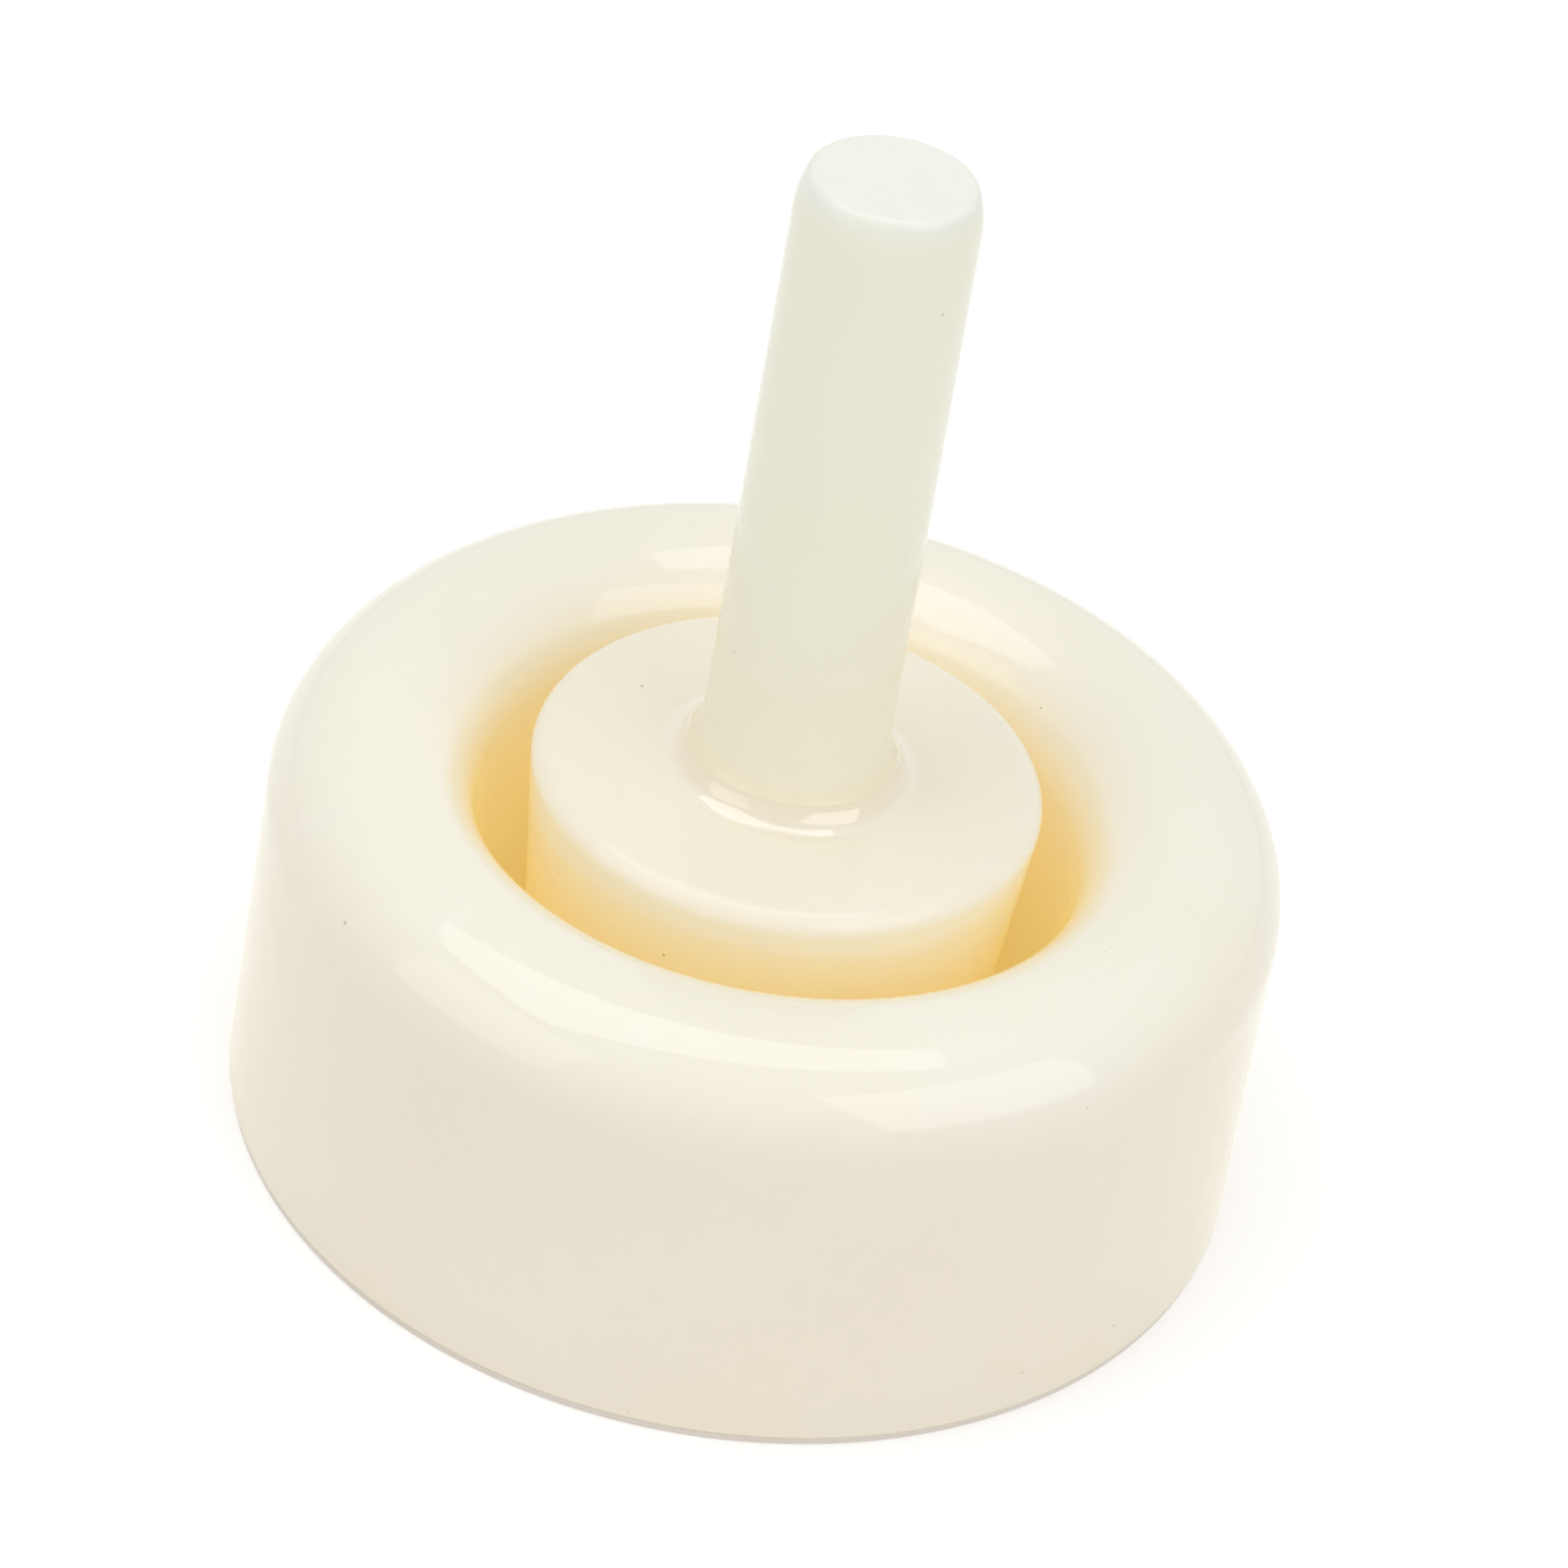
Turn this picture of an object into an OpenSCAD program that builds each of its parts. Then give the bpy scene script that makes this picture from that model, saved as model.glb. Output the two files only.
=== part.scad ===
// Hand mold for waffle bowls: a thick round ring with a rounded rim, and a plunger that is lifted out by its handle.
// Millimetres, +Z up. The origin is the middle of the underside, on the table.

/* [Former] */
// Diameter of the former across its top, at the sharp corner before rounding
former_d = 69.4; // [50:0.1:90]
// Lean of the former's side and of the bowl wall in degrees, narrower at the foot
side_taper = 4.9; // [1:0.1:10]
// Rounding of the former's top edge
former_top_r = 2.8; // [0.5:0.1:4]
// Rounding of the former's lower edge, which shapes the inner corner of the waffle bowl
former_foot_r = 4; // [1:0.5:8]

/* [Mold ring] */
// Height of the rim above the table
rim_h = 58.5; // [46:0.5:90]
// Level gap that holds the waffle, between the former and the bowl wall
waffle_gap = 7.5; // [4:0.1:12]
// Width of the ring, measured level across the rim
ring_wall = 26.2; // [18:0.2:40]
// Lean of the outer wall in degrees, wider at the foot
wall_draft = 1.6; // [0.2:0.1:4]
// Rounding of the rim towards the outer wall
rim_outer_r = 12.8; // [4:0.2:16]
// Rounding of the rim towards the bowl
rim_inner_r = 13.5; // [4:0.1:16]
// Bevel on the lower outer edge of the ring
foot_bevel = 0.4; // [0.2:0.1:1]

/* [Base plate] */
// Thickness of the plate bonded under the ring
base_t = 1; // [0.8:0.1:4]
// Step from the ring's foot back to the edge of the plate
base_step = 0.3; // [0.1:0.1:2]

/* [Handle] */
// Length of the handle above the former
handle_len = 90.6; // [70:0.1:140]
// Diameter of the handle where its side would meet the former
handle_d = 25.4; // [20:0.1:36]
// Lean of the handle's side in degrees, slimmer at the top
handle_taper = 0.5; // [0.1:0.1:2]
// Height of the shoulder that draws the handle in below its flat top
shoulder_h = 6; // [4:0.5:7]
// Radius of the shoulder
shoulder_r = 14; // [12:0.5:30]
// Rounding of the edge between the shoulder and the flat top
handle_top_r = 1.4; // [0.5:0.1:2.5]
// How far the flared foot spreads past the side of the handle
foot_spread = 1.4; // [0.5:0.1:6]
// Height of the upright edge round the foot
foot_edge_h = 3.1; // [1:0.1:6]
// Radius of the flare between the foot and the side
flare_r = 10; // [7:0.5:20]
// Diameter of the spigot under the foot
spigot_d = 14; // [11:0.5:18]
// Length of the spigot under the foot
spigot_len = 8; // [4:0.5:14]
// Bevel on the spigot's lower edge
spigot_bevel = 0.6; // [0.2:0.1:1.5]

/* [Bead] */
// How far the bead of cement spreads over the former
bead_w = 3.4; // [1:0.1:6]
// How deep the face of the bead is hollowed, up to where it would run level with the former
bead_hollow = 0.75; // [0.1:0.05:1]

/* [Handle screw] */
// Diameter of the screw's shank
screw_d = 6; // [4:0.5:8]
// Diameter of the screw's head
screw_head_d = 10; // [9:0.5:13]
// Height of the screw's head
screw_head_h = 6; // [4:0.5:8]
// Hexagon key that turns the screw, across its flats
key_w = 5; // [3:0.5:6]
// Depth of the hexagon in the head
key_depth = 3; // [2:0.5:3.5]
// Bevel on the rim of the screw's head and on its tip
screw_bevel = 0.6; // [0.2:0.1:0.9]
// Length of thread held in the handle
thread_len = 30; // [15:1:45]
// Depth of the recess for the screw's head in the former's underside
recess_depth = 20; // [17:0.5:30]
// Outer diameter of the washer
washer_d = 12; // [10:0.5:16]
// Thickness of the washer
washer_t = 1.6; // [0.8:0.1:2.5]

/* [Plug] */
// Thickness of the plug that closes the recess
plug_t = 5; // [2:0.5:6]
// How far the plug sits back from the former's underside
plug_back = 0.2; // [0.1:0.1:1]
// Bevel on the plug's inner edge
plug_bevel = 0.6; // [0.2:0.1:1.5]

/* [Clearances] */
// Film of cement round a bonded piece
bond_gap = 0.05; // [0.02:0.01:0.2]
// Room round the screw's shank in the former and in the washer
screw_gap = 0.2; // [0.1:0.05:0.5]
// Room round the screw's thread in the handle
thread_gap = 0.05; // [0.02:0.01:0.1]
// Room round the washer in its recess
washer_gap = 0.5; // [0.2:0.1:1]
// Room below the end of the spigot
spigot_gap = 0.2; // [0.1:0.1:1]
// Room past the tip of the screw
tip_gap = 2; // [0.5:0.5:5]

/* [Hidden] */
$fn = 128;

// How far a cut runs past the face that it opens
cut_over = 1;

// Level distance from the sharp corner of a level face and a leaning side to the centre of its rounding
function corner_inset(r, lean) = r * (1 - sin(lean)) / cos(lean);

// The ring and the former stand on the base plate and end level at the rim
body_h = rim_h - base_t;
former_top_rad = former_d / 2;
former_foot_rad = former_top_rad - body_h * tan(side_taper);

// The bowl wall runs alongside the former, one waffle gap away
bowl_top_rad = former_top_rad + waffle_gap;
function bowl_rad(z) = bowl_top_rad - (rim_h - z) * tan(side_taper);

ring_top_rad = bowl_top_rad + ring_wall;
ring_foot_rad = ring_top_rad + body_h * tan(wall_draft);

// The two roundings of the rim shrink together where the ring is too narrow for both
rim_share = corner_inset(rim_outer_r, wall_draft) + corner_inset(rim_inner_r, side_taper);
rim_fit = min(1, ring_wall / rim_share);
rim_out = rim_outer_r * rim_fit;
rim_in = rim_inner_r * rim_fit;

// The handle's flare is an arc that touches its leaning side and ends at the upright edge of the foot
handle_top_z = rim_h + handle_len;
function handle_rad(z) = handle_d / 2 - (z - rim_h) * tan(handle_taper);
flare_reach = flare_r / cos(handle_taper) - foot_spread;
flare_z = rim_h + foot_edge_h + sqrt(flare_r ^ 2 - flare_reach ^ 2);
flare_side_rad = handle_rad(flare_z);
foot_rad = flare_side_rad + foot_spread;

// The screw hangs from its washer in the recess and ends in the handle
spigot_z = rim_h - spigot_len;
seat_z = base_t + recess_depth;
head_top_z = seat_z - washer_t;
tip_z = spigot_z + thread_len;
recess_rad = max(washer_d, screw_head_d) / 2 + washer_gap;
key_corner_d = key_w / cos(30);

// Half outline, from the axis out, of a round solid with a leaning side and rounded edges
module half_outline(foot_rad, foot_z, top_rad, top_z, foot_r, top_r) {
    lean = atan2(foot_rad - top_rad, top_z - foot_z);
    outward = [cos(lean), sin(lean)];
    foot_c = [foot_rad - corner_inset(foot_r, -lean), foot_z + foot_r];
    top_c = [top_rad - corner_inset(top_r, lean), top_z - top_r];
    foot_points = foot_r > 0 ? [[foot_c.x, foot_z], foot_c + foot_r * outward] : [[foot_rad, foot_z]];
    top_points = top_r > 0 ? [top_c + top_r * outward, [top_c.x, top_z]] : [[top_rad, top_z]];
    intersection() {
        union() {
            polygon(concat([[0, foot_z]], foot_points, top_points, [[0, top_z]]));
            if (foot_r > 0) translate(foot_c) circle(r = foot_r);
            if (top_r > 0) translate(top_c) circle(r = top_r);
        }
        translate([0, foot_z]) square([max(foot_rad, top_rad), top_z - foot_z]);
    }
}

// Half outline of the ring: the drafted body, less the bowl, with the rim rounded into the bowl
module ring_outline() {
    rim_c = [bowl_top_rad + corner_inset(rim_in, side_taper), rim_h - rim_in];
    rim_touch = rim_c + rim_in * [-cos(side_taper), sin(side_taper)];
    low_z = base_t - cut_over;
    high_z = rim_h + cut_over;
    difference() {
        half_outline(ring_foot_rad, base_t, ring_top_rad, rim_h, 0, rim_out);
        polygon([[0, low_z], [bowl_rad(low_z), low_z], rim_touch, rim_c, [rim_c.x, high_z], [0, high_z]]);
        translate([ring_foot_rad, base_t]) rotate(45) square(foot_bevel * sqrt(2), center = true);
    }
    translate(rim_c) circle(r = rim_in);
}

// Half outline of the handle above the former: its leaning side, its shoulder and the edge of its flat top
module grip_outline() {
    shoulder_z = handle_top_z - shoulder_h;
    outward = [cos(handle_taper), sin(handle_taper)];
    shoulder_touch = [handle_rad(shoulder_z), shoulder_z];
    shoulder_c = shoulder_touch - shoulder_r * outward;
    edge_z = handle_top_z - handle_top_r;
    centres = shoulder_r - handle_top_r;
    edge_c = [shoulder_c.x + sqrt(centres ^ 2 - (edge_z - shoulder_c.y) ^ 2), edge_z];
    toward_edge = (edge_c - shoulder_c) / centres;
    edge_touch = edge_c + handle_top_r * toward_edge;
    intersection() {
        union() {
            polygon([[0, rim_h], [handle_d / 2, rim_h], shoulder_touch, edge_touch,
                     [edge_c.x, handle_top_z], [0, handle_top_z]]);
            intersection() {
                translate(shoulder_c) circle(r = shoulder_r);
                polygon([shoulder_c, shoulder_c + 2 * shoulder_r * outward,
                         shoulder_c + 2 * shoulder_r * toward_edge]);
            }
            translate(edge_c) circle(r = handle_top_r);
        }
        translate([0, rim_h]) square([handle_d / 2, handle_len]);
    }
}

// Half outline of the handle's foot: a block with the flare cut out of its side
module foot_outline() {
    flare_c = [flare_side_rad + flare_r / cos(handle_taper), flare_z];
    flare_touch_z = flare_z - flare_r * sin(handle_taper);
    difference() {
        translate([0, rim_h]) square([foot_rad, flare_touch_z - rim_h]);
        translate(flare_c) circle(r = flare_r);
    }
}

// Half outline of the bead: a corner fillet whose face is slightly hollow
module bead_outline() {
    inner = foot_rad + bond_gap;
    low = [inner + bead_w, rim_h];
    high = [inner, rim_h + foot_edge_h];
    span = norm(high - low);
    slope = atan2(foot_edge_h, bead_w);
    deepest = 0.9 * span / 2 * tan(min(slope, 90 - slope) / 2);
    hollow = min(bead_hollow, deepest);
    hollow_r = (span ^ 2 / 4 + hollow ^ 2) / (2 * hollow);
    outward = [foot_edge_h, bead_w] / span;
    difference() {
        polygon([[inner, rim_h], low, high]);
        translate((low + high) / 2 + (hollow_r - hollow) * outward) circle(r = hollow_r);
    }
}

// Thick ring with the bowl opening through it
module mold_ring() {
    color([0.92, 0.89, 0.81])
    rotate_extrude()
    ring_outline();
}

// Thin plate under the ring, which is the floor of the bowl
module mold_base() {
    color([0.84, 0.81, 0.76])
    cylinder(h = base_t, r = ring_foot_rad - base_step);
}

// Tapered drum with a socket for the handle on top and a recess for the screw below
module former() {
    color([0.94, 0.91, 0.84])
    rotate_extrude()
    difference() {
        half_outline(former_foot_rad, base_t, former_top_rad, rim_h, former_foot_r, former_top_r);
        translate([0, spigot_z - spigot_gap])
            square([spigot_d / 2 + bond_gap, spigot_len + spigot_gap + cut_over]);
        translate([0, base_t]) square([screw_d / 2 + screw_gap, body_h]);
        translate([0, base_t - cut_over]) square([recess_rad, recess_depth + cut_over]);
    }
}

// Half outline of the spigot, run up into the foot
module spigot_outline() {
    spigot_rad = spigot_d / 2;
    joined_z = rim_h + foot_edge_h;
    polygon([[0, spigot_z], [spigot_rad - spigot_bevel, spigot_z], [spigot_rad, spigot_z + spigot_bevel],
             [spigot_rad, joined_z], [0, joined_z]]);
}

// Half outline of the screw: its head below, its shank up to the tip
module screw_outline() {
    head_rad = screw_head_d / 2;
    head_low_z = head_top_z - screw_head_h;
    shank_rad = screw_d / 2;
    polygon([[0, head_low_z], [head_rad - screw_bevel, head_low_z], [head_rad, head_low_z + screw_bevel],
             [head_rad, head_top_z], [shank_rad, head_top_z],
             [shank_rad, tip_z - screw_bevel], [shank_rad - screw_bevel, tip_z], [0, tip_z]]);
}

// Upright handle with its flared foot, its spigot and the threaded hole for the screw
module handle_rod() {
    color([0.91, 0.90, 0.81])
    rotate_extrude()
    difference() {
        union() {
            grip_outline();
            foot_outline();
            spigot_outline();
        }
        translate([0, spigot_z - cut_over])
            square([screw_d / 2 + thread_gap, thread_len + tip_gap + cut_over]);
    }
}

// Glossy bead of cement round the foot of the handle
module handle_bead() {
    color([0.93, 0.90, 0.82])
    rotate_extrude()
    bead_outline();
}

// Cap screw with a hexagon in its head, up through the former into the handle
module handle_screw() {
    color([0.62, 0.63, 0.65])
    difference() {
        rotate_extrude()
        screw_outline();
        translate([0, 0, head_top_z - screw_head_h - cut_over])
            linear_extrude(key_depth + cut_over)
            circle(d = key_corner_d, $fn = 6);
    }
}

// Flat washer between the screw's head and the former
module screw_washer() {
    color([0.70, 0.71, 0.72])
    translate([0, 0, head_top_z])
    rotate_extrude()
    translate([screw_d / 2 + screw_gap, 0])
    square([(washer_d - screw_d) / 2 - screw_gap, washer_t]);
}

// Plug bonded in the mouth of the recess
module former_plug() {
    plug_rad = recess_rad - bond_gap;
    color([0.93, 0.90, 0.82])
    translate([0, 0, base_t + plug_back])
    rotate_extrude()
    polygon([[0, 0], [plug_rad, 0], [plug_rad, plug_t - plug_bevel], [plug_rad - plug_bevel, plug_t], [0, plug_t]]);
}

mold_ring();
mold_base();
former();
handle_rod();
handle_bead();
handle_screw();
screw_washer();
former_plug();
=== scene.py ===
import math
from collections import namedtuple
from functools import partial

import bmesh
import bpy
from bpy.props import FloatProperty, FloatVectorProperty, IntProperty, PointerProperty
from mathutils import Matrix, Vector


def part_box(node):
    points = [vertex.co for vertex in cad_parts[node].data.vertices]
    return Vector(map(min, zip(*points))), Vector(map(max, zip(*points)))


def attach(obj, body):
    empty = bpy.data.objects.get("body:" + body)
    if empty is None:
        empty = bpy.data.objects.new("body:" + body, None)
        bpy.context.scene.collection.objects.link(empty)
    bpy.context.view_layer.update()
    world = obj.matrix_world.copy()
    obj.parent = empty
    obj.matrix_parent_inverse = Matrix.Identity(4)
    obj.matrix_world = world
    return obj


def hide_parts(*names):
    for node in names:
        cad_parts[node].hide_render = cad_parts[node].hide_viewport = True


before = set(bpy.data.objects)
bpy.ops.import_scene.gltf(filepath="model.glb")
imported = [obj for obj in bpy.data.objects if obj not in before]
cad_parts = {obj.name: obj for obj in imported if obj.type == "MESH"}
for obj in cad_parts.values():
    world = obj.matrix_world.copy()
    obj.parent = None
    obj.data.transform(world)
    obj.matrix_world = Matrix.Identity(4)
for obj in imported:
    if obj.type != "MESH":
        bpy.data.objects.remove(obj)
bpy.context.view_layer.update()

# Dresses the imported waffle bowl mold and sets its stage. The pieces are two castings, a plate, a turned
# handle, a bead of cement, and the screw, washer and plug that the former hides.
# Metres, +Z up. The origin is the middle of the underside.

bl_info = {
    "name": "Waffle bowl mold",
    "version": (1, 0, 0),
    "blender": (4, 5, 0),
    "location": "View3D > Sidebar > Waffle mold",
    "description": "Builds the finished pieces of a two-part waffle bowl mold over its packed solids",
    "category": "Object",
}

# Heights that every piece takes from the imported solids
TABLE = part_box("mold_base")[0].z
PLATE_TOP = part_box("mold_base")[1].z
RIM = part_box("mold_ring")[1].z
HANDLE_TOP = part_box("handle_rod")[1].z
SPIGOT_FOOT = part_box("handle_rod")[0].z
SCREW_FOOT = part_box("handle_screw")[0].z
SCREW_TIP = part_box("handle_screw")[1].z
WASHER_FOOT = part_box("screw_washer")[0].z
WASHER_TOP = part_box("screw_washer")[1].z
PLUG_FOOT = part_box("former_plug")[0].z
PLUG_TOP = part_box("former_plug")[1].z

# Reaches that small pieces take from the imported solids
PLATE_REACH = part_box("mold_base")[1].x
WASHER_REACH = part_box("screw_washer")[1].x
PLUG_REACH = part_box("former_plug")[1].x

MILLIMETRE = 0.001

# Points nearer than this are one, and faces that meet at more than this angle keep a sharp edge
WELD = 2e-6
SHARP_EDGE = math.radians(28)
FLAT_FACE_WEIGHT = 100

# How a point of an outline is cut after turning, and how near a number has to be to name a cut
PLAIN, KEY, GRIP, THREAD = range(4)
SAME_CUT = 0.25
Corner = namedtuple("Corner", "radius height rounding cut", defaults=(0.0, PLAIN))

# Steps along the arcs of the outlines, and rows of points in one turn of the thread
SHOULDER_STEPS = 16
TOP_EDGE_STEPS = 12
FLARE_STEPS = 24
BEAD_STEPS = 20
THREAD_ROWS = 8

# How finely each piece is turned: steps round the axis, and steps in a rounded corner
RING_TURNING = (480, 40)
PLATE_TURNING = (320, 6)
FORMER_TURNING = (384, 20)
HANDLE_TURNING = (192, 28)
BEAD_TURNING = (192, 8)
SMALL_TURNING = (96, 6)
SCREW_CORNER_STEPS = 4
STEPS_PER_GRIP = 4

# Kinds of node sockets, and the sockets of a colour mix
SHAPE, FINISH, COUNT = "NodeSocketGeometry", "NodeSocketMaterial", "NodeSocketInt"
FLOAT, COLOUR = "NodeSocketFloat", "NodeSocketColor"
MIX_FIRST, MIX_SECOND, MIX_RESULT = 6, 7, 2


def length(description, millimetres):
    """A size property, given in millimetres and kept in metres."""
    return FloatProperty(
        description=description,
        default=millimetres * MILLIMETRE,
        min=0.0,
        unit="LENGTH",
        precision=5,
    )


def lean(description, degrees):
    """An angle property, given in degrees."""
    return FloatProperty(description=description, default=math.radians(degrees), subtype="ANGLE")


def share(description, value, most):
    """A plain factor."""
    return FloatProperty(description=description, default=value, min=0.0, max=most, subtype="FACTOR")


def paint(description, red, green, blue):
    """A colour property."""
    return FloatVectorProperty(
        description=description,
        default=(red, green, blue, 1.0),
        size=4,
        min=0.0,
        max=1.0,
        subtype="COLOR",
    )


class MoldSizes(bpy.types.PropertyGroup):
    """Sizes of the ring, its plate and the former."""

    former_diameter: length("Across the former's top, at the corner before rounding", 69.4)
    side_taper: lean("Lean of the former's side and of the bowl wall", 4.9)
    former_top_rounding: length("Rounding of the former's top edge", 2.8)
    former_foot_rounding: length("Rounding of the former's lower edge", 4)
    waffle_gap: length("Level gap between the former and the bowl wall", 7.5)
    ring_width: length("Width of the ring, level across the rim", 26.2)
    wall_draft: lean("Lean of the ring's outer wall", 1.6)
    rim_outer_rounding: length("Rounding of the rim towards the outer wall", 12.8)
    rim_inner_rounding: length("Rounding of the rim towards the bowl", 13.5)
    foot_bevel: length("Bevel on the ring's lower outer edge", 0.4)
    plate_rounding: length("Rounding of the plate's cut edges", 0.15)


class HandleSizes(bpy.types.PropertyGroup):
    """Sizes of the handle and of what holds it."""

    handle_diameter: length("Across the handle where its side would meet the former", 25.4)
    handle_taper: lean("Lean of the handle's side", 0.5)
    shoulder_height: length("How far the shoulder reaches below the handle's flat top", 6)
    shoulder_radius: length("Radius of the shoulder that draws the handle in", 14)
    handle_top_rounding: length("Rounding of the edge between shoulder and flat top", 1.4)
    foot_spread: length("How far the foot spreads past the side", 1.4)
    foot_edge_height: length("Height of the upright edge round the foot", 3.1)
    flare_radius: length("Radius of the flare between foot and side", 10)
    bead_width: length("How far the bead spreads over the former", 3.4)
    bead_hollow: length("How deep the face of the bead is hollowed", 0.75)
    bond_film: length("Film of cement round a bonded piece", 0.05)
    spigot_diameter: length("Across the spigot under the foot", 14)
    spigot_bevel: length("Bevel on the spigot's lower edge", 0.6)
    spigot_room: length("Room below the end of the spigot", 0.2)
    screw_diameter: length("Across the screw's shank", 6)
    screw_room: length("Room round the shank in the former and in the washer", 0.2)
    thread_room: length("Room round the thread in the handle", 0.05)
    tip_room: length("Room past the tip of the screw", 2)
    thread_pitch: length("Rise of the thread in one turn", 1)
    thread_depth: length("Depth of the thread's groove", 0.55)
    screw_bevel: length("Bevel on the rim of the head and on the tip", 0.6)
    head_diameter: length("Across the screw's head", 10)
    grip_depth: length("Depth of the grip grooves round the head", 0.22)
    key_width: length("Across the flats of the hexagon in the head", 5)
    key_depth: length("Depth of the hexagon in the head", 3)
    recess_room: length("Room round the washer in its recess", 0.5)
    washer_edge: length("Rounding of the washer's edges", 0.2)
    plug_bevel: length("Bevel on the plug's inner edge", 0.6)
    grip_count: IntProperty(description="Grooves round the screw's head", default=24, min=6)


class MoldColours(bpy.types.PropertyGroup):
    """Colours of the finishes."""

    ring: paint("Cream of the ring", 0.960, 0.902, 0.806)
    # Painted shade: a duller copy of the ring's cream for the outer side wall
    shaded_ring_wall: paint("Duller cream of the handled outer wall", 0.884, 0.818, 0.748)
    # Painted light: a paler copy of the ring's cream for the rim, where the light from above falls
    rim: paint("Paler cream of the polished rim", 0.928, 0.905, 0.845)
    former: paint("Cream of the former", 0.930, 0.887, 0.797)
    # Painted light: a warmer, golden copy of the former's cream for its side, for the golden light bounced
    # about in the gap
    former_side_painted_glow: paint("Warmer cream of the former's side", 0.940, 0.854, 0.680)
    handle: paint("Pale cream of the handle, with a faint green cast", 0.946, 0.941, 0.813)
    # Painted light: a warmer copy of the handle's cream for its foot, for light bounced up off the former
    handle_foot_painted_bounce: paint("Warmer cream of the handle's flared foot", 0.945, 0.885, 0.705)
    # Painted light: a paler copy of the handle's cream for its end, where the light from above falls
    handle_end_painted_light: paint("Paler faced end of the handle", 0.930, 0.955, 0.895)
    # Partly its own tone and partly painted shade: darker than the former it sits on, for the shade of the
    # hollow under the handle's foot
    bead: paint("Set cement", 0.868, 0.788, 0.652)
    bead_edge: paint("Thin outer edge of the cement", 0.912, 0.856, 0.752)
    # Partly painted shade: the sheet's grey edge is the thin grey line along the ring's foot, and stands in
    # for the shade under that rounded lower edge
    plate: paint("Greyish sheet", 0.80, 0.75, 0.71)
    warm_tint: paint("What clouds in the plastic multiply its colour by", 0.997, 0.985, 0.965)
    speck: paint("Specks of burnt batter in the plastic", 0.30, 0.20, 0.11)
    steel: paint("Stainless steel", 0.60, 0.60, 0.61)
    floor: paint("Pale studio floor", 0.93, 0.93, 0.93)


class StageSettings(bpy.types.PropertyGroup):
    """Light and camera."""

    room_light: share("Strength of the even white light from all sides", 0.49, 2.0)
    top_light: share("Brightness of the panel overhead, where 1 is white", 1.95, 8.0)
    left_light: share("Brightness that the left softbox adds to the white room", 0.5, 8.0)
    right_light: share("Brightness that the right softbox adds to the white room", 0.8, 8.0)
    front_light: share("Brightness of the wide front fill, which no mirror shows", 0.34, 8.0)
    camera_lens: length("Focal length for a 36 mm sensor", 126.075)
    camera_back: length("Level distance of the camera from the axis", 589.92)
    camera_height: length("Height of the camera above the table", 491.39)
    aim_height: length("Height of the point that the camera looks at", 54.355)
    aim_left: length("How far that point lies left of the axis", 0.259)
    camera_roll: lean("Turn of the camera about its own line of sight", 10.1815)


def connect(source, socket):
    """Gives an input a value, or links another node's output to it."""
    if isinstance(source, bpy.types.NodeSocket):
        socket.id_data.links.new(source, socket)
    else:
        socket.default_value = source


def feed(node, **sources):
    """Connects inputs of a node by name, with _ for spaces, and returns the node."""
    for name, source in sources.items():
        connect(source, node.inputs[name.replace("_", " ")])
    return node


def calc(operation, *terms):
    """Adds one math node and returns its result. A term is a number or another node's output."""
    tree = next(term.id_data for term in terms if isinstance(term, bpy.types.NodeSocket))
    node = tree.nodes.new("ShaderNodeMath")
    node.operation = operation
    for socket, term in zip(node.inputs, terms):
        connect(term, socket)
    return node.outputs[0]


plus = partial(calc, "ADD")
minus = partial(calc, "SUBTRACT")
times = partial(calc, "MULTIPLY")
over = partial(calc, "DIVIDE")


def add(tree, kind, **sources):
    """Adds one node, feeds it and returns it."""
    return feed(tree.nodes.new(kind), **sources)


def split_place(where):
    """Splits a place into across, along and height, and adds its reach from the upright axis."""
    across, along, height = add(where.id_data, "ShaderNodeSeparateXYZ", Vector=where).outputs
    squares = plus(calc("POWER", across, 2.0), calc("POWER", along, 2.0))
    return across, along, height, calc("SQRT", squares)


def own_place(tree):
    """The place of a point in its piece's own space, for a shader."""
    return tree.nodes.new("ShaderNodeTexCoord").outputs["Object"]


def new_tree(name, kind, inputs, outputs):
    """Makes a node group with sockets listed by kind. Returns it, its input outlets and its output node."""
    tree = bpy.data.node_groups.new(name, kind)
    for side, listed in (("INPUT", inputs), ("OUTPUT", outputs)):
        for socket_kind, names in listed.items():
            for socket_name in names:
                tree.interface.new_socket(socket_name, in_out=side, socket_type=socket_kind)
    entry = tree.nodes.new("NodeGroupInput")
    leave = tree.nodes.new("NodeGroupOutput")
    return tree, entry.outputs, leave


def close_tree(tree, shape, finish, leave):
    """Ends a geometry tree: real faces, shaded smooth, with their finish."""
    whole = add(tree, "GeometryNodeRealizeInstances", Geometry=shape)
    smooth = add(tree, "GeometryNodeSetShadeSmooth", Geometry=whole.outputs[0])
    done = add(tree, "GeometryNodeSetMaterial", Geometry=smooth.outputs[0], Material=finish)
    connect(done.outputs[0], leave.inputs[0])


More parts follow.
